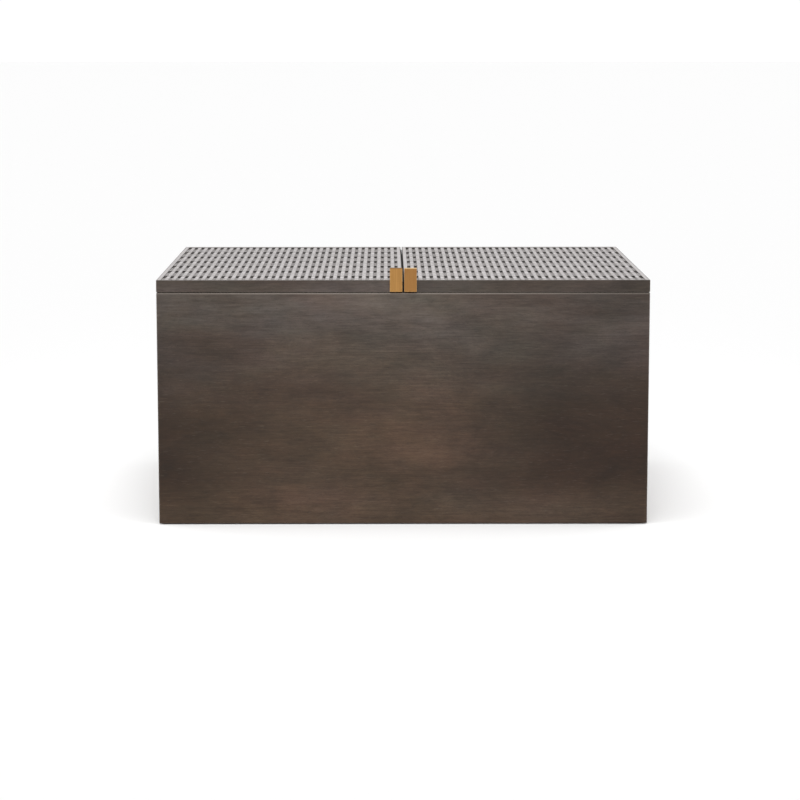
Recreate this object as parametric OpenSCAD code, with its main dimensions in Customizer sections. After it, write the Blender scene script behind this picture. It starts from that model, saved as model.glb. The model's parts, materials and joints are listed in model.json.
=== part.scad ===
// Storage coffee table: a plain mitred wooden box under two hinged lids. Each lid is faced with a
// woven cane mat and has a brass edge pull at its inner front corner.
// +Z is up, the front faces -Y, and the origin is on the floor under the middle of the table.

/* [Table] */
// Width of the box, and of the two lids side by side
table_w = 915; // [800:5:1100]
// Depth of the box and of the lids, without the pulls and the hinge barrels
table_d = 711; // [640:1:860]
// Height of the lids' tops above the floor
table_h = 460; // [400:2:520]
// Gap between the two lids
lid_gap = 3; // [2.8:0.1:5]
// Open line between the box and the closed lids
shadow_gap = 1.2; // [1:0.1:3]
// Rounding of the box's long edges
edge_r = 1.2; // [0.6:0.1:2]

/* [Box] */
// Thickness of the four walls
wall_t = 20; // [18:1:24]
// Thickness of the plywood floor
floor_t = 12; // [9:1:15]
// Depth of the groove that holds the floor
groove_deep = 8; // [6:1:10]
// Height of the floor's underside above the walls' lower edge
floor_rise = 28; // [20:1:50]
// Side of the square corner blocks under the floor
block_w = 60; // [45:1:80]
// Width of the rail under the lids' meeting edges
rail_w = 60; // [50:1:80]
// Height of that rail
rail_h = 40; // [30:1:60]
// How far the rail's ends are let into the front and back walls
rail_let_in = 10; // [6:1:12]

/* [Lids] */
// Thickness of a lid
lid_t = 22.4; // [21:0.1:26]
// Width of a lid's rails and stiles
lid_rail_w = 55; // [45:1:70]
// Thickness of the panel behind the cane
backing_t = 6; // [4:0.5:6]
// Width of the frame left standing around that panel
shoulder_w = 12; // [10:1:16]
// Width of the thin wooden lip round the cane
lip_w = 1; // [0.8:0.1:1.6]
// Depth of the recess that the cane lies in
cane_recess = 2.4; // [2.2:0.1:3]

/* [Cane] */
// Thickness of one strip of cane
strip_t = 1.1; // [0.8:0.1:1.1]
// Width of the strips that run front to back
strip_w = 8; // [6:0.5:10]
// Columns of openings across one lid
columns = 33; // [24:1:36]
// Rows of openings from front to back
rows = 7; // [4:1:9]
// Front edge of a lid to the middle of the first row
front_row = 70; // [50:1:90]
// Back edge of a lid to the middle of the last row
back_row = 31; // [28:1:90]
// Length of one opening, front to back
opening_l = 31; // [12:1:36]

/* [Pulls] */
// Width of a brass pull
pull_w = 23; // [18:1:35]
// Height of a pull above the lid
pull_rise = 23; // [12:0.5:35]
// Underside of the lid up to the lower end of a pull, whose foot is let into it that deep
pull_lift = 1.3; // [0:0.1:1.5]
// Thickness of the foot that turns in under the lid
pull_foot_t = 2.5; // [2:0.1:3]
// Length of that foot
pull_foot_l = 26; // [24:1:32]
// Rounding of the pull's edges
pull_r = 0.9; // [0.4:0.1:1.2]

/* [Hinges] */
// Width of one hinge
hinge_w = 76; // [60:1:90]
// Depth of a hinge leaf
leaf_d = 17; // [14:0.5:17]
// Thickness of a hinge leaf
leaf_t = 1.6; // [1.4:0.1:1.8]
// Radius of the hinge barrel
barrel_r = 3; // [3:0.1:4]
// Radius of the hinge pin
pin_r = 1.5; // [1.2:0.1:1.7]
// Distance from a lid's side edge to the middle of its nearer hinge
hinge_inset = 95; // [85:1:120]

/* [Hidden] */

$fn = 48;
LEFT = -1;
RIGHT = 1;
FRONT = -1;
BACK = 1;

// Colours
walnut = "#4f433b";
ply = "#3a302a";
cane = "#bdbab6";
brass = "#b9894e";
bronze = "#4a4038";
nylon = "#2a2827";

// Heights
glide_t = 2;
lid_z = table_h - lid_t;
wall_top = lid_z - shadow_gap;
wall_h = wall_top - glide_t;
floor_z = glide_t + floor_rise;
backing_z = table_h - cane_recess - backing_t;

// Lid plan
lid_w = (table_w - lid_gap) / 2;
lid_x = (table_w + lid_gap) / 4;
opening_w = (lid_w - (columns + 1) * strip_w) / columns;
column_pitch = strip_w + opening_w;
row_pitch = (table_d - front_row - back_row) / (rows - 1);
border_web = 2;
cane_z = table_h - cane_recess;

// Hinge line, in the middle of the shadow gap and just behind the back wall
knuckles = 5;
knuckle_gap = 0.3;
knuckle_l = hinge_w / knuckles;
barrel_clear = 0.4;
running_clear = 0.05;
axis_y = table_d / 2 + barrel_r + barrel_clear;
axis_z = wall_top + shadow_gap / 2;
hinge_outer_x = table_w / 2 - hinge_inset;
hinge_inner_x = lid_gap / 2 + hinge_inset;
pin_head_r = pin_r + 0.8;
pin_head_t = 1.4;

// The pulls stand out as far as the hinge barrels, which keeps the origin in the middle
pull_t = 2 * barrel_r + barrel_clear;
pull_edge = 0.3;
pull_x = lid_gap / 2 + pull_edge;
pull_z = lid_z + pull_lift;
pull_screw_rows = [9, 20];

// Screws: head radius, shank radius and length
leaf_screw = [3.2, 1.6, 11];
pull_screw = [3.6, 2, 11];
screw_head_h = 1.6;
screws_per_leaf = 3;
screw_stagger = [0.4, 0.6];

// Bumpers: on the walls' tops and on the rail, for the right-hand lid
bumper_r = 4;
bumper_from_corner = 40;
bumper_from_middle = 60;
bumper_places = [
    [table_w / 2 - bumper_from_corner, -table_d / 2 + wall_t / 2],
    [bumper_from_middle, -table_d / 2 + wall_t / 2],
    [lid_x, table_d / 2 - wall_t / 2],
    [table_w / 2 - wall_t / 2, 0],
    [rail_w / 4, -table_d * 0.3],
    [rail_w / 4, table_d * 0.3]
];

// Glides, under the middles of the corner blocks
glide_x = table_w / 2 - wall_t - block_w / 2;
glide_y = table_d / 2 - wall_t - block_w / 2;
glide_r = 12;
glide_nail_r = 1.5;
glide_nail_l = 14;

// Strip that closes the lid gap
seal_t = 2.2;
seal_h = 14;
seal_top_drop = 5;
seal_end_gap = 10;

// ---------- Shared shapes ----------

// Flat rectangle with its corner at the origin and every corner rounded
module eased_rect(w, h, r) {
    translate([r, 0]) square([w - 2 * r, h]);
    translate([0, r]) square([w, h - 2 * r]);
    for (x = [r, w - r], y = [r, h - r]) {
        translate([x, y]) circle(r = r);
    }
}

// Plan of a board with mitred ends, whose outside face is at y = -reach
module mitre_plan(length, reach, width, arris) {
    half = length / 2;
    polygon([
        [-half + arris, -reach],
        [half - arris, -reach],
        [half - arris / 2, -reach + arris / 2],
        [half - width, -reach + width],
        [-half + width, -reach + width],
        [-half + arris / 2, -reach + arris / 2]
    ]);
}

// Extrudes a section along X: the section's x runs inwards from the face at y = -reach, its y upwards
module mitred_bar(length, reach, width, z, arris) {
    intersection() {
        translate([-length / 2, -reach, z]) rotate([90, 0, 90]) linear_extrude(length) children();
        linear_extrude(table_h + 1) mitre_plan(length, reach, width, arris);
    }
}

// Outer form of a countersunk screw, [head radius, shank radius, length], head up at the origin
module screw_form(size) {
    tip_h = 2 * size[1];
    translate([0, 0, -screw_head_h]) cylinder(h = screw_head_h, r1 = size[1], r2 = size[0]);
    translate([0, 0, tip_h - size[2]]) cylinder(h = size[2] - tip_h - screw_head_h, r = size[1]);
    translate([0, 0, -size[2]]) cylinder(h = tip_h, r1 = size[1] / 4, r2 = size[1]);
}

// The same screw with a cross recess in its head
module screw(size) {
    slot_l = 1.1 * size[0];
    slot_w = 0.8;
    slot_deep = 1;
    difference() {
        screw_form(size);
        for (turn = [0, 90]) {
            rotate([0, 0, turn]) cube([slot_l, slot_w, 2 * slot_deep], center = true);
        }
    }
}

// Left-hand pieces are the mirror image of the right-hand ones
module on_side(side) {
    if (side == RIGHT) {
        children();
    } else {
        mirror([1, 0, 0]) children();
    }
}

// ---------- Box ----------

// A wall facing -Y, grooved for the floor
module wall(length, reach) {
    difference() {
        mitred_bar(length, reach, wall_t, glide_t, edge_r) eased_rect(wall_t, wall_h, edge_r);
        translate([-length / 2, -reach + wall_t - groove_deep, floor_z])
            cube([length, groove_deep + 1, floor_t]);
    }
}

// Room for the centre rail's end in a front or back wall
module rail_housing() {
    translate([-rail_w / 2, -table_d / 2 + wall_t - rail_let_in, wall_top - rail_h])
        cube([rail_w, rail_let_in + 1, rail_h + 1]);
}

module front_wall() {
    color(walnut) difference() {
        wall(table_w, table_d / 2);
        rail_housing();
    }
}

module back_wall() {
    color(walnut) difference() {
        rotate([0, 0, 180]) difference() {
            wall(table_w, table_d / 2);
            rail_housing();
        }
        for (side = [LEFT, RIGHT], x = [hinge_inner_x, hinge_outer_x]) {
            on_side(side) {
                leaf_plate(x, wall_top - leaf_t);
                leaf_screw_places(x, wall_top) screw_form(leaf_screw);
            }
        }
    }
}

module side_wall(side) {
    color(walnut) rotate([0, 0, 90 * side]) wall(table_d, table_w / 2);
}

module floor_panel() {
    inset = wall_t - groove_deep;
    color(ply) translate([-table_w / 2 + inset, -table_d / 2 + inset, floor_z])
        cube([table_w - 2 * inset, table_d - 2 * inset, floor_t]);
}

module centre_rail() {
    length = table_d - 2 * (wall_t - rail_let_in);
    color(walnut) translate([-rail_w / 2, length / 2, wall_top - rail_h]) rotate([90, 0, 0])
        linear_extrude(length) square([rail_w, rail_h]);
}

module corner_block(side, end) {
    cut = block_w / 3;
    half = block_w / 2;
    color(walnut) translate([side * glide_x, end * glide_y, glide_t]) difference() {
        linear_extrude(floor_rise) polygon([
            [half * side, half * end],
            [half * side, -half * end],
            [-(half - cut) * side, -half * end],
            [-half * side, -(half - cut) * end],
            [-half * side, half * end]
        ]);
        cylinder(h = glide_nail_l, r = glide_nail_r);
    }
}

module floor_glides() {
    rim = 0.6;
    color(nylon) for (x = [-glide_x, glide_x], y = [-glide_y, glide_y]) {
        translate([x, y, 0]) {
            cylinder(h = rim, r1 = glide_r - rim, r2 = glide_r);
            translate([0, 0, rim]) cylinder(h = glide_t - rim, r = glide_r);
            cylinder(h = glide_t + glide_nail_l, r = glide_nail_r);
        }
    }
}

module lid_bumpers() {
    color(nylon) for (side = [LEFT, RIGHT], place = bumper_places) {
        translate([side * place[0], place[1], wall_top]) cylinder(h = shadow_gap, r = bumper_r);
    }
}

// ---------- Hinges ----------

// Flat of a leaf, at height z, for the hinge whose middle is at x
module leaf_plate(x, z) {
    translate([x - hinge_w / 2, table_d / 2 - leaf_d, z]) cube([hinge_w, leaf_d, leaf_t]);
}

// Puts its children at each screw of the leaf at x
module leaf_screw_places(x, z) {
    for (i = [0 : screws_per_leaf - 1]) {
        translate([
            x + hinge_w * ((i + 0.5) / screws_per_leaf - 0.5),
            table_d / 2 - leaf_d * screw_stagger[i % 2],
            z
        ]) children();
    }
}

// One leaf with every second knuckle, starting from knuckle number first
module hinge_leaf(x, z, first, bore_r) {
    root = 1;
    difference() {
        union() {
            leaf_plate(x, z);
            for (i = [first : 2 : knuckles - 1]) {
                left = x - hinge_w / 2 + i * knuckle_l + knuckle_gap / 2;
                translate([left, table_d / 2 - root, z])
                    cube([knuckle_l - knuckle_gap, root + barrel_clear + barrel_r, leaf_t]);
                translate([left, axis_y, axis_z]) rotate([0, 90, 0])
                    cylinder(h = knuckle_l - knuckle_gap, r = barrel_r);
            }
        }
        translate([x - hinge_w, axis_y, axis_z]) rotate([0, 90, 0])
            cylinder(h = 2 * hinge_w, r = bore_r);
        children();
    }
}

module body_leaf(side, x) {
    color(bronze) on_side(side) hinge_leaf(x, wall_top - leaf_t, 0, pin_r)
        leaf_screw_places(x, wall_top) screw_form(leaf_screw);
}

module lid_leaf(side, x) {
    color(bronze) on_side(side) hinge_leaf(x, lid_z, 1, pin_r + running_clear)
        leaf_screw_places(x, lid_z) rotate([180, 0, 0]) screw_form(leaf_screw);
}

module hinge_pin(side, x) {
    color(bronze) on_side(side) translate([x, axis_y, axis_z]) rotate([0, 90, 0]) {
        cylinder(h = hinge_w, r = pin_r, center = true);
        for (end = [LEFT, RIGHT]) {
            translate([0, 0, end * (hinge_w + pin_head_t) / 2])
                cylinder(h = pin_head_t, r = pin_head_r, center = true);
        }
    }
}

module body_leaf_screws() {
    color(bronze) for (side = [LEFT, RIGHT], x = [hinge_inner_x, hinge_outer_x]) {
        on_side(side) leaf_screw_places(x, wall_top) screw(leaf_screw);
    }
}

module lid_leaf_screws(side) {
    color(bronze) for (x = [hinge_inner_x, hinge_outer_x]) {
        on_side(side) leaf_screw_places(x, lid_z) rotate([180, 0, 0]) screw(leaf_screw);
    }
}

// ---------- Lids ----------

// Section of a rail or stile: a lip outside, a shoulder under the cane, and a seat for the backing
module lid_section() {
    arris = 0.6;
    shoulder_h = lid_t - cane_recess;
    seat_h = shoulder_h - backing_t;
    polygon([
        [arris, 0],
        [lid_rail_w, 0],
        [lid_rail_w, seat_h],
        [shoulder_w, seat_h],
        [shoulder_w, shoulder_h],
        [lip_w, shoulder_h],
        [lip_w, lid_t],
        [arris, lid_t],
        [0, lid_t - arris],
        [0, arris]
    ]);
}

// One member of a lid's mitred frame, facing -Y and centred on the lid
module lid_member(length, reach) {
    mitred_bar(length, reach, lid_rail_w, lid_z, lip_w / 2) lid_section();
}

module lid_front_rail(side) {
    color(walnut) on_side(side) difference() {
        translate([lid_x, 0, 0]) lid_member(lid_w, table_d / 2);
        pull_recess();
        pull_screw_places() screw_form(pull_screw);
    }
}

module lid_back_rail(side) {
    color(walnut) on_side(side) difference() {
        translate([lid_x, 0, 0]) rotate([0, 0, 180]) lid_member(lid_w, table_d / 2);
        for (x = [hinge_inner_x, hinge_outer_x]) {
            leaf_plate(x, lid_z);
            leaf_screw_places(x, lid_z) rotate([180, 0, 0]) screw_form(leaf_screw);
        }
    }
}

module lid_outer_stile(side) {
    color(walnut) on_side(side) translate([lid_x, 0, 0]) rotate([0, 0, 90]) lid_member(table_d, lid_w / 2);
}

module lid_inner_stile(side) {
    color(walnut) on_side(side) difference() {
        translate([lid_x, 0, 0]) rotate([0, 0, -90]) lid_member(table_d, lid_w / 2);
        pull_recess();
        pull_screw_places() screw_form(pull_screw);
    }
}

module lid_cross_rail(side) {
    length = lid_w - 2 * lid_rail_w;
    color(walnut) on_side(side) translate([lid_x - length / 2, -lid_rail_w / 2, lid_z])
        cube([length, lid_rail_w, backing_z - lid_z]);
}

module lid_backing(side) {
    w = lid_w - 2 * shoulder_w;
    d = table_d - 2 * shoulder_w;
    color(ply) on_side(side) translate([lid_x - w / 2, -d / 2, backing_z]) cube([w, d, backing_t]);
}

// Plan of the cane inside a margin, with its openings cut out
module cane_plan(margin) {
    difference() {
        translate([lid_gap / 2 + margin, -table_d / 2 + margin])
            square([lid_w - 2 * margin, table_d - 2 * margin]);
        for (i = [0 : columns - 1], j = [0 : rows - 1]) {
            translate([
                lid_gap / 2 + strip_w + i * column_pitch,
                -table_d / 2 + front_row + j * row_pitch - opening_l / 2
            ]) square([opening_w, opening_l]);
        }
    }
}

// The mat: its lower strips reach under the border, its upper ones stop against it
module lid_cane(side) {
    color(cane) on_side(side) {
        translate([0, 0, cane_z]) linear_extrude(strip_t) cane_plan(lip_w + border_web);
        translate([0, 0, cane_z + strip_t]) linear_extrude(strip_t) cane_plan(strip_w);
    }
}

// Section of the border strip that holds the mat's edge down
module border_section() {
    arris = 0.4;
    polygon([
        [0, 0],
        [border_web, 0],
        [border_web, strip_t],
        [strip_w - lip_w, strip_t],
        [strip_w - lip_w, cane_recess - arris],
        [strip_w - lip_w - arris, cane_recess],
        [arris, cane_recess],
        [0, cane_recess - arris]
    ]);
}

module lid_border(side) {
    w = lid_w - 2 * lip_w;
    d = table_d - 2 * lip_w;
    color(cane) on_side(side) translate([lid_x, 0, 0]) for (end = [0, 180]) {
        rotate([0, 0, end]) mitred_bar(w, d / 2, strip_w, cane_z, 0) border_section();
        rotate([0, 0, end + 90]) mitred_bar(d, w / 2, strip_w, cane_z, 0) border_section();
    }
}

// Strip on the left lid's inner edge, which closes the gap between the lids
module lid_gap_seal() {
    length = table_d - 2 * seal_end_gap;
    color(nylon) translate([-lid_gap / 2, -length / 2, table_h - seal_top_drop - seal_h])
        cube([seal_t, length, seal_h]);
}

// ---------- Pulls ----------

module pull_foot() {
    translate([pull_x, -table_d / 2, pull_z]) cube([pull_w, pull_foot_l, pull_foot_t]);
}

// Cut in the lid's underside that takes the foot
module pull_recess() {
    translate([pull_x, -table_d / 2, lid_z]) cube([pull_w, pull_foot_l, pull_lift + pull_foot_t]);
}

// Puts its children at each screw under the pull's foot, pointing up
module pull_screw_places() {
    for (y = pull_screw_rows) {
        translate([pull_x + pull_w / 2, -table_d / 2 + y, pull_z]) rotate([180, 0, 0]) children();
    }
}

module lid_pull(side) {
    color(brass) on_side(side) difference() {
        union() {
            translate([pull_x, -table_d / 2, pull_z]) rotate([90, 0, 0]) linear_extrude(pull_t)
                eased_rect(pull_w, lid_t + pull_rise - pull_lift, pull_r);
            pull_foot();
        }
        pull_screw_places() screw_form(pull_screw);
    }
}

module lid_pull_screws(side) {
    color(brass) on_side(side) pull_screw_places() screw(pull_screw);
}

// ---------- The assembly ----------

front_wall();
back_wall();
side_wall(LEFT);  // left_wall
side_wall(RIGHT);  // right_wall
floor_panel();
centre_rail();
corner_block(LEFT, FRONT);  // front_left_block
corner_block(RIGHT, FRONT);  // front_right_block
corner_block(LEFT, BACK);  // back_left_block
corner_block(RIGHT, BACK);  // back_right_block
floor_glides();
lid_bumpers();
body_leaf(LEFT, hinge_outer_x);  // left_outer_body_leaf
body_leaf(LEFT, hinge_inner_x);  // left_inner_body_leaf
body_leaf(RIGHT, hinge_inner_x);  // right_inner_body_leaf
body_leaf(RIGHT, hinge_outer_x);  // right_outer_body_leaf
hinge_pin(LEFT, hinge_outer_x);  // left_outer_hinge_pin
hinge_pin(LEFT, hinge_inner_x);  // left_inner_hinge_pin
hinge_pin(RIGHT, hinge_inner_x);  // right_inner_hinge_pin
hinge_pin(RIGHT, hinge_outer_x);  // right_outer_hinge_pin
body_leaf_screws();
lid_front_rail(LEFT);  // left_lid_front_rail
lid_back_rail(LEFT);  // left_lid_back_rail
lid_outer_stile(LEFT);  // left_lid_outer_stile
lid_inner_stile(LEFT);  // left_lid_inner_stile
lid_cross_rail(LEFT);  // left_lid_cross_rail
lid_backing(LEFT);  // left_lid_backing
lid_cane(LEFT);  // left_lid_cane
lid_border(LEFT);  // left_lid_border
lid_pull(LEFT);  // left_lid_pull
lid_pull_screws(LEFT);  // left_lid_pull_screws
lid_leaf(LEFT, hinge_outer_x);  // left_outer_lid_leaf
lid_leaf(LEFT, hinge_inner_x);  // left_inner_lid_leaf
lid_leaf_screws(LEFT);  // left_lid_leaf_screws
lid_gap_seal();
lid_front_rail(RIGHT);  // right_lid_front_rail
lid_back_rail(RIGHT);  // right_lid_back_rail
lid_outer_stile(RIGHT);  // right_lid_outer_stile
lid_inner_stile(RIGHT);  // right_lid_inner_stile
lid_cross_rail(RIGHT);  // right_lid_cross_rail
lid_backing(RIGHT);  // right_lid_backing
lid_cane(RIGHT);  // right_lid_cane
lid_border(RIGHT);  // right_lid_border
lid_pull(RIGHT);  // right_lid_pull
lid_pull_screws(RIGHT);  // right_lid_pull_screws
lid_leaf(RIGHT, hinge_outer_x);  // right_outer_lid_leaf
lid_leaf(RIGHT, hinge_inner_x);  // right_inner_lid_leaf
lid_leaf_screws(RIGHT);  // right_lid_leaf_screws
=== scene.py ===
"""Looks of the storage coffee table: stained wood, woven cane, brushed brass, studio and camera."""

import json
import math

import bpy
import numpy as np
from mathutils import Matrix, Vector


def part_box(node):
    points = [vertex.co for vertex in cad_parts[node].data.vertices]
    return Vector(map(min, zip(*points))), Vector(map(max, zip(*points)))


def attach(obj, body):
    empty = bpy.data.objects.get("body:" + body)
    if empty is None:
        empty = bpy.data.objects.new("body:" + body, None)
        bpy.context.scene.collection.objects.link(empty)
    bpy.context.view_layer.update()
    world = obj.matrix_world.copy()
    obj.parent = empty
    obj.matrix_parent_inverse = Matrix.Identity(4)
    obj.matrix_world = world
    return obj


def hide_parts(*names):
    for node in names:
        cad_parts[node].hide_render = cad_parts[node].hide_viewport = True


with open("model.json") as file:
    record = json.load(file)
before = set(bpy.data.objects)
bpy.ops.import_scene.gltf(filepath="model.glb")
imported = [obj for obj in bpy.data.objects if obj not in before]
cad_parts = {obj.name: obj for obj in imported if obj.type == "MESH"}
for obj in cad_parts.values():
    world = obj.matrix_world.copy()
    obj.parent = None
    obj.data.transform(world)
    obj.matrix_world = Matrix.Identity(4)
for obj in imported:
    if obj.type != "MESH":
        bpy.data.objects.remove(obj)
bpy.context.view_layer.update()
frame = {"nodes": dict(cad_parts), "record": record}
RNG = np.random.default_rng(36)
MM = 0.001


# ---------- Node helpers ----------


class Tree:
    """A material's node tree, with short calls for the nodes that these materials use."""

    def __init__(self, name):
        self.mat = bpy.data.materials.new(name)
        self.mat.use_nodes = True
        self.nodes = self.mat.node_tree.nodes
        self.links = self.mat.node_tree.links
        self.shader = self.nodes["Principled BSDF"]

    def put(self, socket, value):
        """Links value to socket if it is a socket, or else sets it."""
        if isinstance(value, bpy.types.NodeSocket):
            self.links.new(value, socket)
        elif value is not None:
            socket.default_value = value

    def coords(self, turn=(0, 0, 0), shift=(0, 0, 0), scale=(1, 1, 1)):
        """Object coordinates, turned first, then moved and stretched."""
        source = self.nodes.new("ShaderNodeTexCoord").outputs["Object"]
        if any(turn):
            spin = self.nodes.new("ShaderNodeVectorRotate")
            spin.rotation_type = "EULER_XYZ"
            spin.inputs["Rotation"].default_value = turn
            self.links.new(source, spin.inputs["Vector"])
            source = spin.outputs["Vector"]
        return self.stretch(source, scale, shift)

    def stretch(self, vector, scale, shift=(0, 0, 0)):
        node = self.nodes.new("ShaderNodeMapping")
        self.links.new(vector, node.inputs["Vector"])
        node.inputs["Scale"].default_value = scale
        node.inputs["Location"].default_value = shift
        return node.outputs["Vector"]

    def noise(self, vector, scale=1.0, detail=3.0, roughness=0.5, distortion=0.0):
        node = self.nodes.new("ShaderNodeTexNoise")
        self.links.new(vector, node.inputs["Vector"])
        node.inputs["Scale"].default_value = scale
        node.inputs["Detail"].default_value = detail
        node.inputs["Roughness"].default_value = roughness
        node.inputs["Distortion"].default_value = distortion
        return node.outputs["Fac"]

    def ramp(self, value, low, high, out_low=0.0, out_high=1.0):
        """value from low..high to out_low..out_high, clamped, with soft ends."""
        node = self.nodes.new("ShaderNodeMapRange")
        node.interpolation_type = "SMOOTHSTEP"
        self.put(node.inputs["Value"], value)
        node.inputs["From Min"].default_value = low
        node.inputs["From Max"].default_value = high
        node.inputs["To Min"].default_value = out_low
        node.inputs["To Max"].default_value = out_high
        return node.outputs["Result"]

    def math(self, kind, a, b=None):
        node = self.nodes.new("ShaderNodeMath")
        node.operation = kind
        self.put(node.inputs[0], a)
        self.put(node.inputs[1], b)
        return node.outputs[0]

    def mix(self, factor, a, b, kind="MIX"):
        """Mixes two colours."""
        node = self.nodes.new("ShaderNodeMix")
        node.data_type = "RGBA"
        node.blend_type = kind
        self.put(node.inputs["Factor"], factor)
        self.put(node.inputs[6], a)
        self.put(node.inputs[7], b)
        return node.outputs[2]

    def split(self, vector):
        """A vector's X, Y and Z."""
        node = self.nodes.new("ShaderNodeSeparateXYZ")
        self.links.new(vector, node.inputs["Vector"])
        return node.outputs[:]

    def attribute(self, name):
        node = self.nodes.new("ShaderNodeAttribute")
        node.attribute_name = name
        return node.outputs["Fac"]

    def edges(self, radius):
        """1 close to a sharp edge and 0 away from it."""
        bevel = self.nodes.new("ShaderNodeBevel")
        bevel.samples = 4
        bevel.inputs["Radius"].default_value = radius
        plain = self.nodes.new("ShaderNodeNewGeometry").outputs["Normal"]
        dot = self.nodes.new("ShaderNodeVectorMath")
        dot.operation = "DOT_PRODUCT"
        self.links.new(bevel.outputs["Normal"], dot.inputs[0])
        self.links.new(plain, dot.inputs[1])
        return self.ramp(dot.outputs["Value"], 0.8, 0.995, 1.0, 0.0)

    def bump(self, height, strength, distance):
        node = self.nodes.new("ShaderNodeBump")
        self.put(node.inputs["Height"], height)
        node.inputs["Strength"].default_value = strength
        node.inputs["Distance"].default_value = distance
        self.links.new(node.outputs["Normal"], self.shader.inputs["Normal"])

    def set(self, **values):
        """Sets the shader's sockets by name, with _ for a space."""
        for name, value in values.items():
            self.put(self.shader.inputs[name.replace("_", " ")], value)
        return self.mat


def rgb(r, g, b):
    """An opaque linear colour."""
    return (r, g, b, 1.0)


# Turns that bring a board's length onto the texture's X axis
ALONG_X = (0, 0, 0)
ALONG_Y = (0, 0, -math.pi / 2)
ALONG_Z = (0, math.pi / 2, 0)


# ---------- Materials ----------


def stained_wood(name, along, shift, rub, spread, tone=1.0, arris_z=None):
    """Dark walnut stain: soft clouds, fine straight grain, pores and worn edges, with painted light: a grey
    painted sheen high up, a painted floor bounce low down, painted light falloff across a board and a
    painted highlight along a wall's top edge.

    rub, and the spread of the painted light: how far the stain is rubbed back, and how much lighter the
    middle of a board is painted than its ends, as painted light falloff (darker in the middle where
    negative).
    tone: how light this board is. arris_z: height of a wall's top edge, where a highlight is painted.
    """
    t = Tree(name)
    base = t.coords(along, shift)
    cloud = t.noise(t.stretch(base, (1.7, 4.2, 4.2), (4, 1, 7)), detail=2)
    figure = t.noise(t.stretch(base, (2.6, 11, 11)), detail=3, distortion=0.5)
    mottle = t.noise(t.stretch(base, (4.2, 8.5, 8.5), (7, 3, 2)), detail=7, roughness=0.72, distortion=0.4)
    bands = t.noise(t.stretch(base, (7, 60, 60)), detail=3, roughness=0.6, distortion=0.3)
    strokes = t.noise(t.stretch(base, (38, 210, 210)), detail=2, roughness=0.6)
    grain = t.noise(t.stretch(base, (22, 520, 520)), detail=4, roughness=0.65)
    fleck = t.noise(t.stretch(base, (70, 800, 800)), detail=1)
    pores = t.ramp(t.noise(t.stretch(base, (170, 2600, 2600)), detail=1), 0.6, 0.7)
    ruddy = t.noise(t.stretch(base, (4, 9, 9), (3, 5, 8)), detail=5, roughness=0.68)
    olive = t.noise(t.stretch(base, (3, 7, 7), (9, 2, 4)), detail=4, roughness=0.65)

    # Stain rubbed back by rub, with painted light: the middle of a board painted lighter than its ends
    # (darker where the spread is negative) as painted light falloff, lighter near the floor as painted floor
    # bounce, and a grey painted sheen near the top
    run, _, _ = t.split(t.coords(along))
    _, _, height = t.split(t.coords())
    aside = t.math("ABSOLUTE", t.math("ADD", run, 0.06))
    # Painted light falloff across the board, lightest or darkest in its middle
    painted_middle_light = t.ramp(aside, 0.05, 0.46, rub + spread, rub - spread)
    painted_light_and_noise = t.math("ADD", painted_middle_light, t.ramp(cloud, 0.3, 0.7, -0.3, 0.3))
    # Painted floor bounce: lighter near the floor, more so towards the right
    painted_floor_bounce = t.math("MULTIPLY", t.ramp(height, 0.01, 0.10, 0.85, 0.0), t.ramp(run, -0.45, 0.35, 0.4, 1.3))
    colour = t.mix(t.math("ADD", painted_light_and_noise, painted_floor_bounce), rgb(0.025, 0.0125, 0.006), rgb(0.067, 0.041, 0.026))
    # Painted sheen: a grey reflection painted high up on the board, broken by the figure
    painted_top_sheen = t.math("MULTIPLY", t.ramp(height, 0.17, 0.42), t.ramp(figure, 0.25, 0.7, 0.75, 0.4))
    colour = t.mix(painted_top_sheen, colour, rgb(0.089, 0.0755, 0.067))
    colour = t.mix(t.ramp(figure, 0.48, 0.75, 0.0, 0.3), colour, rgb(0.026, 0.0135, 0.0065))
    colour = t.mix(t.ramp(bands, 0.45, 0.75, 0.0, 0.3), colour, rgb(0.024, 0.013, 0.007))
    colour = t.mix(t.ramp(grain, 0.3, 0.72, 0.35, 0.0), colour, rgb(0.018, 0.010, 0.006))
    colour = t.mix(t.ramp(fleck, 0.62, 0.8, 0.0, 0.22), colour, rgb(0.12, 0.095, 0.076))
    colour = t.mix(t.math("MULTIPLY", pores, 0.45), colour, rgb(0.008, 0.006, 0.005))
    shade = t.math("ADD", t.ramp(mottle, 0.2, 0.8, 0.57, 1.41), t.ramp(strokes, 0.25, 0.75, -0.1, 0.1))
    colour = t.mix(1.0, colour, t.math("MULTIPLY", shade, tone), "MULTIPLY")
    tint = t.mix(t.ramp(ruddy, 0.3, 0.7), rgb(0.94, 1.0, 1.03), rgb(1.06, 1.0, 0.96))
    colour = t.mix(1.0, colour, tint, "MULTIPLY")
    tint = t.mix(t.ramp(olive, 0.3, 0.7), rgb(1.01, 0.975, 1.03), rgb(0.98, 1.025, 0.95))
    colour = t.mix(1.0, colour, tint, "MULTIPLY")
    wear_and_painted_highlight = t.math("MULTIPLY", t.edges(1.6 * MM), t.ramp(bands, 0.3, 0.6, 0.4, 0.8))
    if arris_z is not None:
        # Painted highlight along a wall's top edge, weaker towards the board's ends
        painted_top_edge_highlight = t.ramp(height, arris_z - 4.6 * MM, arris_z - 0.2 * MM)
        painted_top_edge_highlight = t.math("MULTIPLY", painted_top_edge_highlight, t.ramp(aside, 0.2, 0.46, 0.95, 0.6))
        wear_and_painted_highlight = t.math("MAXIMUM", wear_and_painted_highlight, painted_top_edge_highlight)
    # Worn edges and, on walls, the painted top-edge highlight share one pale colour
    colour = t.mix(wear_and_painted_highlight, colour, rgb(0.148, 0.125, 0.108))

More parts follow.
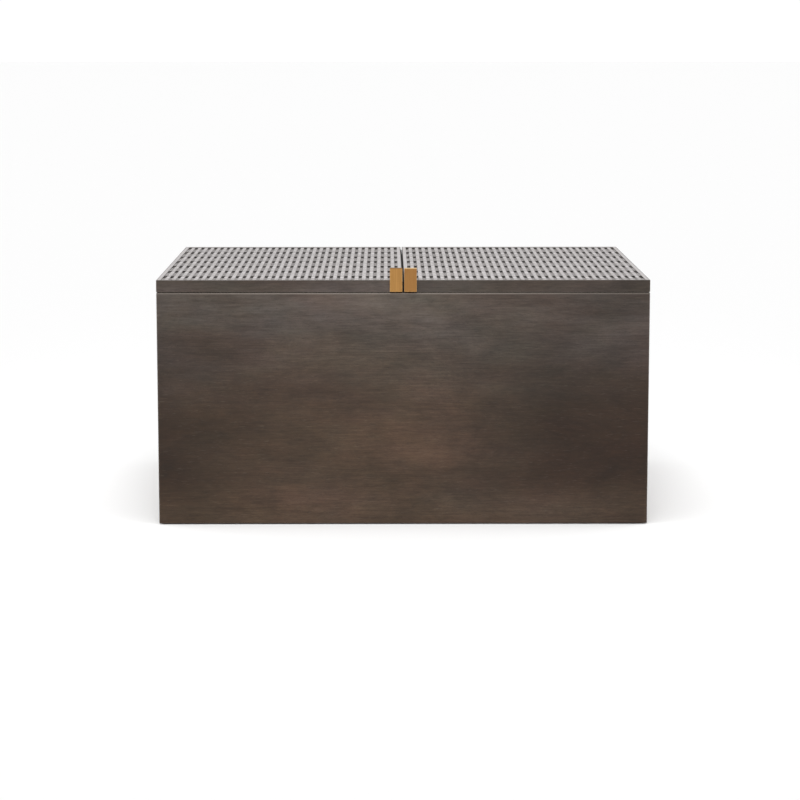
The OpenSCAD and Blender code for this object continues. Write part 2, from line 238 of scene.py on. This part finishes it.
    t.bump(t.math("SUBTRACT", grain, t.math("MULTIPLY", pores, 0.8)), 0.35, 0.25 * MM)
    gloss = t.math("ADD", t.math("MULTIPLY", grain, 0.6), t.math("MULTIPLY", figure, 0.4))
    rough = t.ramp(gloss, 0.3, 0.7, 0.54, 0.42)
    return t.set(Base_Color=colour, Roughness=rough, IOR=1.45, Specular_IOR_Level=0.3)


def dark_plywood(name, shift):
    """Near-black stained plywood face, matt, with a broad peeled grain."""
    t = Tree(name)
    base = t.coords(ALONG_Y, shift)
    broad = t.noise(t.stretch(base, (4, 30, 30)), detail=3, roughness=0.6, distortion=0.8)
    fine = t.noise(t.stretch(base, (30, 500, 500)), detail=3, roughness=0.6)
    colour = t.mix(t.ramp(broad, 0.35, 0.65), rgb(0.011, 0.0085, 0.007), rgb(0.026, 0.019, 0.0145))
    colour = t.mix(t.ramp(fine, 0.35, 0.7, 0.5, 0.0), colour, rgb(0.006, 0.005, 0.004))
    t.bump(fine, 0.3, 0.2 * MM)
    return t.set(Base_Color=colour, Roughness=t.ramp(fine, 0.3, 0.7, 0.9, 0.75), Specular_IOR_Level=0.1)


def cane(name, along):
    """Flat rattan peel with a silver-grey wash, with painted light from each point's values: lighter on the
    crests, painted shade in the hollows, on the strips' sides and beside the openings.
    """
    t = Tree(name)
    base = t.coords(along, (0.3, 0.7, 0.1))
    tone = t.attribute("tone")
    painted_light = t.attribute("painted_light")
    fibre = t.noise(t.stretch(base, (35, 2200, 2200)), detail=3, roughness=0.6)
    streak = t.noise(t.stretch(base, (9, 420, 420)), detail=2, roughness=0.55)
    patch = t.noise(t.stretch(base, (11, 60, 60)), detail=2)
    knots = t.ramp(t.noise(t.stretch(base, (190, 130, 130)), detail=0), 0.72, 0.8)

    colour = t.mix(tone, rgb(0.515, 0.493, 0.495), rgb(0.70, 0.672, 0.678))
    colour = t.mix(t.ramp(streak, 0.45, 0.75, 0.0, 0.4), colour, rgb(0.44, 0.405, 0.385))
    colour = t.mix(t.ramp(fibre, 0.25, 0.6, 0.4, 0.0), colour, rgb(0.36, 0.34, 0.315))
    colour = t.mix(t.ramp(patch, 0.55, 0.8, 0.0, 0.3), colour, rgb(0.46, 0.42, 0.37))
    colour = t.mix(t.math("MULTIPLY", knots, 0.4), colour, rgb(0.17, 0.14, 0.11))
    # Painted light: each point's painted value darkens strips where they dip, on their sides and beside the
    # openings as painted shade, near-black where lowest
    painted_light_and_noise = t.math("ADD", painted_light, t.ramp(streak, 0.3, 0.7, -0.1, 0.1))
    colour = t.mix(t.ramp(painted_light_and_noise, 0.5, 0.9, 0.75, 0.0), colour, rgb(0.185, 0.17, 0.162))
    colour = t.mix(t.ramp(painted_light_and_noise, 0.0, 0.45, 0.95, 0.0), colour, rgb(0.022, 0.018, 0.014))
    t.bump(t.math("ADD", fibre, t.math("MULTIPLY", streak, 0.5)), 0.4, 0.12 * MM)
    rough = t.ramp(fibre, 0.3, 0.7, 0.68, 0.52)
    return t.set(Base_Color=colour, Roughness=rough, IOR=1.4, Specular_IOR_Level=0.15)


def brushed_brass(name, shift, dull, painted_top_reflection, crown_z):
    """Satin brass brushed up and down, dull in patches, with a painted highlight along its edges; the
    argument after dull is the colour of the painted reflection on its top.
    """
    t = Tree(name)
    base = t.coords(ALONG_Z, shift)
    brush = t.noise(t.stretch(base, (25, 3200, 3200)), detail=3, roughness=0.7)
    bands = t.noise(t.stretch(base, (6, 420, 420)), detail=2)
    patina = t.noise(t.stretch(base, (60, 90, 90)), detail=3)
    colour = t.mix(t.ramp(bands, 0.35, 0.65), rgb(0.38, 0.19, 0.058), rgb(0.46, 0.245, 0.078))
    colour = t.mix(t.ramp(brush, 0.35, 0.65, 0.0, 0.5), colour, rgb(0.52, 0.29, 0.10))
    colour = t.mix(t.ramp(patina, 0.55, 0.8, dull - 0.1, dull + 0.3), colour, rgb(0.28, 0.125, 0.042))
    # Painted highlight along the pull's edges
    colour = t.mix(t.math("MULTIPLY", t.edges(1.4 * MM), 0.55), colour, rgb(0.82, 0.56, 0.28))
    _, _, height = t.split(t.coords())
    # Painted reflection along the pull's top: dark on the left pull, bright on the right
    colour = t.mix(t.ramp(height, crown_z - 2.0 * MM, crown_z - 0.7 * MM, 0.0, 0.8), colour, painted_top_reflection)
    t.bump(brush, 0.3, 0.04 * MM)
    rough = t.ramp(t.math("ADD", brush, patina), 0.6, 1.4, 0.3, 0.46)
    return t.set(Base_Color=colour, Metallic=1.0, Roughness=rough, Anisotropic=0.5)


def bronzed_steel(name):
    """Hinge steel with a dark bronze finish, rubbed at its edges."""
    t = Tree(name)
    base = t.coords(shift=(0.2, 0.4, 0.6))
    cloud = t.noise(t.stretch(base, (140, 140, 140)), detail=4, roughness=0.6)
    scratch = t.noise(t.stretch(base, (60, 1800, 1800)), detail=2)
    colour = t.mix(t.ramp(cloud, 0.35, 0.7), rgb(0.085, 0.062, 0.045), rgb(0.15, 0.112, 0.08))
    colour = t.mix(t.math("MULTIPLY", t.edges(0.5 * MM), 0.55), colour, rgb(0.42, 0.31, 0.21))
    t.bump(scratch, 0.2, 0.03 * MM)
    return t.set(Base_Color=colour, Metallic=1.0, Roughness=t.ramp(cloud, 0.3, 0.7, 0.34, 0.52))


def moulded(name, colour, roughness):
    """Moulded nylon or rubber: fine pitting and slight variation of colour."""
    t = Tree(name)
    base = t.coords(shift=(0.5, 0.1, 0.3))
    pits = t.noise(t.stretch(base, (2200, 2200, 2200)), detail=2)
    cloud = t.noise(t.stretch(base, (40, 40, 40)), detail=3)
    lighter = tuple(1.6 * c for c in colour[:3]) + (1.0,)
    t.bump(pits, 0.35, 0.08 * MM)
    rough = t.ramp(pits, 0.3, 0.7, roughness + 0.08, roughness - 0.08)
    return t.set(Base_Color=t.mix(t.ramp(cloud, 0.3, 0.7), colour, lighter), Roughness=rough)


# ---------- Mesh helpers ----------


def mesh_piece(name, body, points, faces, materials, values, face_slots=None, smooth=True):
    """A piece of cane from points and faces, riding on its body; values: numbers for each point, by name."""
    mesh = bpy.data.meshes.new(name)
    mesh.from_pydata([tuple(p) for p in points], [], [tuple(f) for f in faces])
    for material in materials:
        mesh.materials.append(material)
    mesh.polygons.foreach_set("use_smooth", [smooth] * len(mesh.polygons))
    if face_slots is not None:
        mesh.polygons.foreach_set("material_index", face_slots)
    for attribute, numbers in values.items():
        mesh.attributes.new(attribute, "FLOAT", "POINT").data.foreach_set("value", numbers)
    mesh.update()
    piece = bpy.data.objects.new(name, mesh)
    bpy.context.scene.collection.objects.link(piece)
    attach(piece, body)
    return piece


class Strips:
    """Collects flat strips of one direction into a single mesh."""

    # Section of a strip: place across from -1 to 1, height in half thicknesses, and share of the painted
    # light (less on the edges and none below, as painted shade on a strip's sides)
    SECTION = [
        (-1.0, 0.3, 0.4),
        (-0.62, 0.85, 1.0),
        (0.0, 1.0, 1.0),
        (0.62, 0.85, 1.0),
        (1.0, 0.3, 0.4),
        (0.92, -0.8, 0.0),
        (-0.92, -0.8, 0.0)
    ]

    def __init__(self, along):
        self.along = along
        self.points = []
        self.faces = []
        self.tones = []
        self.painted_lights = []

    def add(self, line, drift, level, painted_light, tone, width, thick):
        """line: places along the strip, each with its place across, its level, its painted light and its
        tone.
        """
        section = np.array(self.SECTION)
        n = len(section)
        rows = len(line)
        first = sum(len(p) for p in self.points)
        across = drift[:, None] + section[None, :, 0] * width / 2
        up = level[:, None] + section[None, :, 1] * thick / 2
        length = np.repeat(line[:, None], n, axis=1)
        order = (across, length, up) if self.along == "Y" else (length, across, up)
        self.points.append(np.stack(order, axis=2).reshape(-1, 3))
        self.tones.append(np.repeat(tone, n))
        self.painted_lights.append((painted_light[:, None] * section[None, :, 2]).reshape(-1))
        turn = 1 if self.along == "Y" else -1
        for i in range(rows - 1):
            for k in range(n):
                a = first + i * n + k
                b = first + i * n + (k + 1) % n
                self.faces.append((a, b, b + n, a + n)[::turn])
        start = tuple(first + k for k in range(n))
        end = tuple(first + (rows - 1) * n + k for k in range(n))
        self.faces.append(start[::-turn])
        self.faces.append(end[::turn])

    def piece(self, name, body, material):
        points = np.concatenate(self.points)
        values = {"tone": np.concatenate(self.tones), "painted_light": np.concatenate(self.painted_lights)}
        return mesh_piece(name, body, points, self.faces, [material], values)


def eased_levels(knots, levels, steps):
    """A smooth line through each (knot, level), flat at every knot, with steps pieces between two."""
    line, height = [], []
    for (a, b), (za, zb) in zip(zip(knots, knots[1:]), zip(levels, levels[1:])):
        for s in range(steps):
            part = s / steps
            line.append(a + (b - a) * part)
            height.append(za + (zb - za) * (1 - math.cos(math.pi * part)) / 2)
    line.append(knots[-1])
    height.append(levels[-1])
    return np.array(line), np.array(height)


# ---------- Woven cane ----------

# The mat's plan, the same as the CAD mat's
STRIP_W = 8.0 * MM
LIP_W = 1.0 * MM
WEB_W = 2.0 * MM
CANE_T = 1.1 * MM
COLUMNS = 33
ROWS = 7
FRONT_ROW = 70.0 * MM
BACK_ROW = 31.0 * MM

# Strips across: how many from one row of openings to the next, and how many of those are left out
WEFTS_PER_ROW = 14
WEFTS_LEFT_OUT = 4
WEFT_W = 5.2 * MM

# A strip's thickness, how far its middle rises and dips, and its steps from one crossing to the next
STRIP_T = 0.8 * MM
WARP_SWING = 0.26 * MM
WEFT_SWING = 0.58 * MM
EASE_STEPS = 4

# How a strip's end clears the border's web and bed, and how the border's flange clears the strips
TUCK_GAP = 0.3 * MM
END_DROP = 0.03 * MM
FLANGE_GAP = 0.02 * MM

# Hand work: how far and how fast a strip wavers, and how much its place, tone and width vary
WAVER = 0.12 * MM
WAVER_RATES = (12, 30)
PLACE_SPREAD = 0.06 * MM
TONE_SPREAD = 0.12
WIDTH_SPREAD = 0.012

# Painted light of a strip where it dips, low values painting shade into the hollows, and what is added to it
# near the border: lighter for the lanes against the border's shadow, darker for the wefts beside an opening
WARP_PAINTED_LIGHT = (1.0, 0.0)
LANE_PAINTED_LIGHT = (0.52, 0.18)
BESIDE_PAINTED_LIGHT = (0.22, -0.2)
NEAR_BORDER = 6 * MM

# Painted light of the border's front, right, back and left, and painted shade on its inner edge and inner
# side
BORDER_PAINTED_LIGHT = (0.54, 0.85, 0.6, 0.85)
INNER_EDGE_PAINTED_LIGHT = 0.4
INNER_SIDE_PAINTED_LIGHT = 0.1

# Tones beside the openings (painted shade), in the closed weave, along the front edge, and of the border
OPENING_SHADE_TONE = 0.1
WOVEN_TONE = 0.85
FRONT_TONE = 0.35
BORDER_TONES = (0.15, 0.35)

# Where a tone changes to the closed weave's: from an opening's middle, and from the front edge
OPENING_FADE = (12 * MM, 20 * MM)
FRONT_FADE = (35 * MM, 50 * MM)


def lid_corners(side):
    """Lowest and highest corner of a lid's border, widened by the lid's wooden lip."""
    lo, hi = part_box(f"{side}_lid_border")
    return lo - Vector((LIP_W, LIP_W, 0)), hi + Vector((LIP_W, LIP_W, 0))


def warp_places(lo, hi):
    """Middles of the strips that run front to back, without the two under the border."""
    pitch = (hi.x - lo.x - STRIP_W) / COLUMNS
    return [lo.x + STRIP_W / 2 + k * pitch for k in range(1, COLUMNS)]


def row_pitch(lo, hi):
    """Distance between two rows of openings."""
    return (hi.y - lo.y - FRONT_ROW - BACK_ROW) / (ROWS - 1)


def weft_places(lo, hi):
    """Middles of the strips that run across, without those left out at each opening, as (number, y)."""
    pitch = row_pitch(lo, hi) / WEFTS_PER_ROW
    first = lo.y + FRONT_ROW - pitch * (WEFTS_LEFT_OUT - 1) / 2
    places = []
    for number in range(-WEFTS_PER_ROW, ROWS * WEFTS_PER_ROW):
        y = first + number * pitch
        inside = lo.y + STRIP_W < y < hi.y - STRIP_W
        opening = number % WEFTS_PER_ROW < WEFTS_LEFT_OUT
        if inside and not opening:
            places.append((number, y))
    return places


def weave_lid(side, materials):
    """One lid's mat: warps and wefts in plain weave, their ends tucked under the border."""
    lo, hi = lid_corners(side)
    middle = lo.z + CANE_T
    tuck = LIP_W + WEB_W + TUCK_GAP
    low_z = middle - STRIP_T / 2 - END_DROP
    warps = warp_places(lo, hi)
    wefts = weft_places(lo, hi)

    def run(strips, place, knots, signs, swing, light_share, ends, width, tones):
        """Adds a strip that rises or dips at each knot, as signs say, with its ends under the border."""
        levels = [low_z, low_z] + [middle + s * swing for s in signs] + [low_z, low_z]
        start, end = ends
        edge = STRIP_W - tuck
        line, level = eased_levels([start, start + edge, *knots, end - edge, end], levels, EASE_STEPS)
        waver = WAVER * np.sin(line * RNG.uniform(*WAVER_RATES) + RNG.uniform(0, 6.3))
        drift = place + waver + RNG.normal(0, PLACE_SPREAD)
        dip_light, border_change = light_share
        # Painted light: darker where the strip dips, as painted shade in the hollows, changed near the
        # border
        painted_light = dip_light + (1 - dip_light) * np.clip((level - middle) / swing, 0, 1)
        painted_light[np.minimum(line - start, end - line) < edge + NEAR_BORDER] += border_change
        tone = RNG.uniform(-TONE_SPREAD, TONE_SPREAD) + tones(place, line)
        strips.add(line, drift, level, painted_light, tone, width * RNG.normal(1, WIDTH_SPREAD), STRIP_T)

    def woven_tone(y):
        """Tone of the closed weave, darker along the front edge."""
        return np.interp(y - lo.y, FRONT_FADE, (FRONT_TONE, WOVEN_TONE))

    def warp_tones(_, line):
        """Tones along a warp: painted shade, darker beside the openings."""
        pitch = row_pitch(lo, hi)
        away = np.abs((line - lo.y - FRONT_ROW + pitch / 2) % pitch - pitch / 2)
        woven = np.interp(away, OPENING_FADE, (0.0, 1.0))
        return OPENING_SHADE_TONE + (woven_tone(line) - OPENING_SHADE_TONE) * woven

    def weft_tones(y, line):
        """Tones along a weft: the same all the way."""
        return np.full(len(line), woven_tone(y))

    warp_strips = Strips("Y")
    for k, x in enumerate(warps):
        signs = [1 if (k + number) % 2 else -1 for number, _ in wefts]
        ends = (lo.y + tuck, hi.y - tuck)
        run(warp_strips, x, [y for _, y in wefts], signs, WARP_SWING, WARP_PAINTED_LIGHT, ends, STRIP_W, warp_tones)
    weft_strips = Strips("X")
    # Numbers of the wefts on either side of an opening
    beside = (WEFTS_LEFT_OUT, WEFTS_PER_ROW - 1)
    for number, y in wefts:
        signs = [-1 if (k + number) % 2 else 1 for k in range(len(warps))]
        ends = (lo.x + tuck, hi.x - tuck)
        light_share = BESIDE_PAINTED_LIGHT if number % WEFTS_PER_ROW in beside else LANE_PAINTED_LIGHT
        run(weft_strips, y, warps, signs, WEFT_SWING, light_share, ends, WEFT_W, weft_tones)

    body = f"{side}_lid"
    warp = warp_strips.piece(f"{side}_lid_cane_warp", body, materials["Y"])
    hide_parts(f"{side}_lid_cane")
    weft_strips.piece(f"{side}_lid_cane_weft", body, materials["X"])


def border(side, materials):
    """The mitred border strips that hold the mat's edges down, slightly domed."""
    lo, hi = lid_corners(side)
    top = hi.z - lo.z
    flange = CANE_T + FLANGE_GAP
    width = STRIP_W - LIP_W
    # Inset from the border's outer edge, height above the mat's bed, and painted light where it is a place's
    # own: painted shade on the inner edge and inner side
    section = [
        (0, 0, None),
        (0, top - 0.5 * MM, None),
        (0.35 * MM, top - 0.12 * MM, None),
        (1.3 * MM, top - 0.03 * MM, None),
        (width / 2, top, None),
        (width - 1.3 * MM, top - 0.03 * MM, None),
        (width - 0.35 * MM, top - 0.15 * MM, None),
        (width, top - 0.55 * MM, INNER_EDGE_PAINTED_LIGHT),
        (width, flange, INNER_SIDE_PAINTED_LIGHT),
        (WEB_W, flange, INNER_SIDE_PAINTED_LIGHT),
        (WEB_W, 0, INNER_SIDE_PAINTED_LIGHT)
    ]
    n = len(section)
    points, faces, slots, tones, painted_lights = [], [], [], [], []
    for edge in range(4):
        first = len(points)
        tone = RNG.uniform(*BORDER_TONES)
        for corner in (edge, (edge + 1) % 4):
            for inset, height, light_share in section:
                x0, x1 = lo.x + LIP_W + inset, hi.x - LIP_W - inset
                y0, y1 = lo.y + LIP_W + inset, hi.y - LIP_W - inset
                x = (x0, x1, x1, x0)[corner]
                y = (y0, y0, y1, y1)[corner]
                points.append((x, y, lo.z + height))
                tones.append(tone)
                painted_lights.append(BORDER_PAINTED_LIGHT[edge] if light_share is None else light_share)
        for k in range(n):
            a, b = first + k, first + (k + 1) % n
            faces.append((a, a + n, b + n, b))
            slots.append(edge % 2)
        faces.append(tuple(first + k for k in range(n)))
        faces.append(tuple(first + n + k for k in reversed(range(n))))
        slots += [edge % 2, edge % 2]
    pair = [materials["X"], materials["Y"]]
    values = {"tone": tones, "painted_light": painted_lights}
    name = f"{side}_lid_cane_border"
    piece = mesh_piece(name, f"{side}_lid", points, faces, pair, values, slots, smooth=False)
    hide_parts(f"{side}_lid_border")


# ---------- Finishes of the CAD parts ----------

# How far the stain is rubbed back, how much lighter the middle of a board is painted as painted light
# falloff (darker where negative), and a board's own tone
WALL_STAIN = {"rub": 0.42, "spread": 0.36}
FRAME_STAIN = {"rub": 0.12, "spread": -0.3}
DARKER_STAIN = {"rub": 0.12, "spread": -0.8, "tone": 0.8}

# Each pull's dullness and the colour of the painted reflection on its top: dark on the left pull, bright on
# the right
PULL_FINISH = {"left": (0.1, rgb(0.27, 0.135, 0.048)), "right": (0.6, rgb(0.82, 0.6, 0.33))}

# How far each part's texture lies from the last one's
TEXTURE_STEP = (0.37, 1.13, 0.71)


def paint(node, material):
    """Gives every slot of a CAD node one material."""
    node.data.materials.clear()
    node.data.materials.append(material)


def board_direction(name):
    """The way a wooden part's grain runs."""
    if "stile" in name or name in ("left_wall", "right_wall", "centre_rail"):
        return ALONG_Y
    return ALONG_X


def paint_frame():
    """Gives every CAD part its finish, by its material slot."""
    slots = {row["node"]: row["material_slot"] for row in frame["record"]["subparts"]}
    shared = {
        "hinge_bronze": bronzed_steel("bronzed_steel"),
        "nylon": moulded("black_nylon", rgb(0.012, 0.012, 0.012), 0.5),
        "black_rubber": moulded("black_rubber", rgb(0.009, 0.009, 0.009), 0.75),
    }
    for number, (name, node) in enumerate(sorted(frame["nodes"].items())):
        shift = tuple(step * number for step in TEXTURE_STEP)
        slot = slots[name]
        along = board_direction(name)
        if slot == "walnut" and "wall" in name:
            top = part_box(name)[1].z
            paint(node, stained_wood(f"walnut_{name}", along, shift, arris_z=top, **WALL_STAIN))
        elif slot == "walnut":
            stain = DARKER_STAIN if name == "right_lid_front_rail" else FRAME_STAIN
            paint(node, stained_wood(f"walnut_{name}", along, shift, **stain))
        elif slot == "dark_plywood":
            paint(node, dark_plywood(f"plywood_{name}", shift))
        elif slot == "brass":
            side = name.split("_")[0]
            dull, painted_top_reflection = PULL_FINISH[side]
            crown_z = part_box(f"{side}_lid_pull")[1].z
            paint(node, brushed_brass(f"brass_{name}", shift, dull, painted_top_reflection, crown_z))
        elif slot in shared:
            paint(node, shared[slot])


# ---------- Studio ----------

# Half of the floor's side, and the white room's brightness as a light and as seen by the camera
FLOOR_HALF = 60.0
ROOM_LIGHT = 0.6
ROOM_SEEN = 1.02


def light(name, kind, place, target, power):
    """A light of the given kind, aimed from place at target."""
    data = bpy.data.lights.new(name, kind)
    data.energy = power
    lamp = bpy.data.objects.new(name, data)
    lamp.location = place
    lamp.rotation_euler = (Vector(target) - Vector(place)).to_track_quat("-Z", "Y").to_euler()
    bpy.context.scene.collection.objects.link(lamp)
    return data


def studio():
    """White room: the backdrop shows full white and lights the object only softly."""
    mesh = bpy.data.meshes.new("floor")
    corners = [(x * FLOOR_HALF, y * FLOOR_HALF, 0) for x, y in ((-1, -1), (1, -1), (1, 1), (-1, 1))]
    mesh.from_pydata(corners, [], [(0, 1, 2, 3)])
    floor = bpy.data.objects.new("floor", mesh)
    bpy.context.scene.collection.objects.link(floor)
    t = Tree("studio_floor")
    mesh.materials.append(t.set(Base_Color=rgb(0.90, 0.90, 0.90), Roughness=0.9, Specular_IOR_Level=0.1))

    world = bpy.data.worlds.new("studio")
    world.use_nodes = True
    nodes, links = world.node_tree.nodes, world.node_tree.links
    room = nodes["Background"]
    room.inputs["Color"].default_value = rgb(1, 1, 1)
    room.inputs["Strength"].default_value = ROOM_LIGHT
    backdrop = nodes.new("ShaderNodeBackground")
    backdrop.inputs["Color"].default_value = rgb(1, 1, 1)
    backdrop.inputs["Strength"].default_value = ROOM_SEEN
    choose = nodes.new("ShaderNodeMixShader")
    links.new(nodes.new("ShaderNodeLightPath").outputs["Is Camera Ray"], choose.inputs["Fac"])
    links.new(room.outputs["Background"], choose.inputs[1])
    links.new(backdrop.outputs["Background"], choose.inputs[2])
    links.new(choose.outputs["Shader"], nodes["World Output"].inputs["Surface"])
    bpy.context.scene.world = world

    key = light("key", "SUN", (-0.1, -1.0, 1.7), (0, 0, 0), 1.85)
    key.angle = math.radians(85)
    front = light("front_bank", "AREA", (-0.05, -2.2, 1.35), (-0.03, -0.35, 0.35), 1.1)
    front.shape = "RECTANGLE"
    front.size, front.size_y = 0.7, 0.3
    front.spread = math.radians(40)
    for name, side in (("left_fill", -1), ("right_fill", 1)):
        fill = light(name, "AREA", (1.5 * side, 0.1, 0.4), (0.5 * side, -0.05, 0.0), 6.0)
        fill.shape = "RECTANGLE"
        fill.size, fill.size_y = 0.8, 0.3


def camera():
    """A long lens in front of the table and a little above it."""
    data = bpy.data.cameras.new("camera")
    data.sensor_width = 36.0
    data.lens = 114.14
    cam = bpy.data.objects.new("camera", data)
    place = (-0.0304, -5.0307, 0.9269)
    pitch, yaw, roll = math.radians(8.409), math.radians(0.298), math.radians(0.009)
    turn = (
        Matrix.Rotation(-yaw, 4, "Z")
        @ Matrix.Rotation(math.pi / 2 - pitch, 4, "X")
        @ Matrix.Rotation(-roll, 4, "Z")
    )
    cam.matrix_world = Matrix.Translation(place) @ turn
    bpy.context.scene.collection.objects.link(cam)
    bpy.context.scene.camera = cam
    bpy.context.scene.view_settings.view_transform = "Standard"


camera()
studio()
paint_frame()
cane_finish = {"X": cane("cane_across", ALONG_X), "Y": cane("cane_front_to_back", ALONG_Y)}
for lid_side in ("left", "right"):
    weave_lid(lid_side, cane_finish)
    border(lid_side, cane_finish)
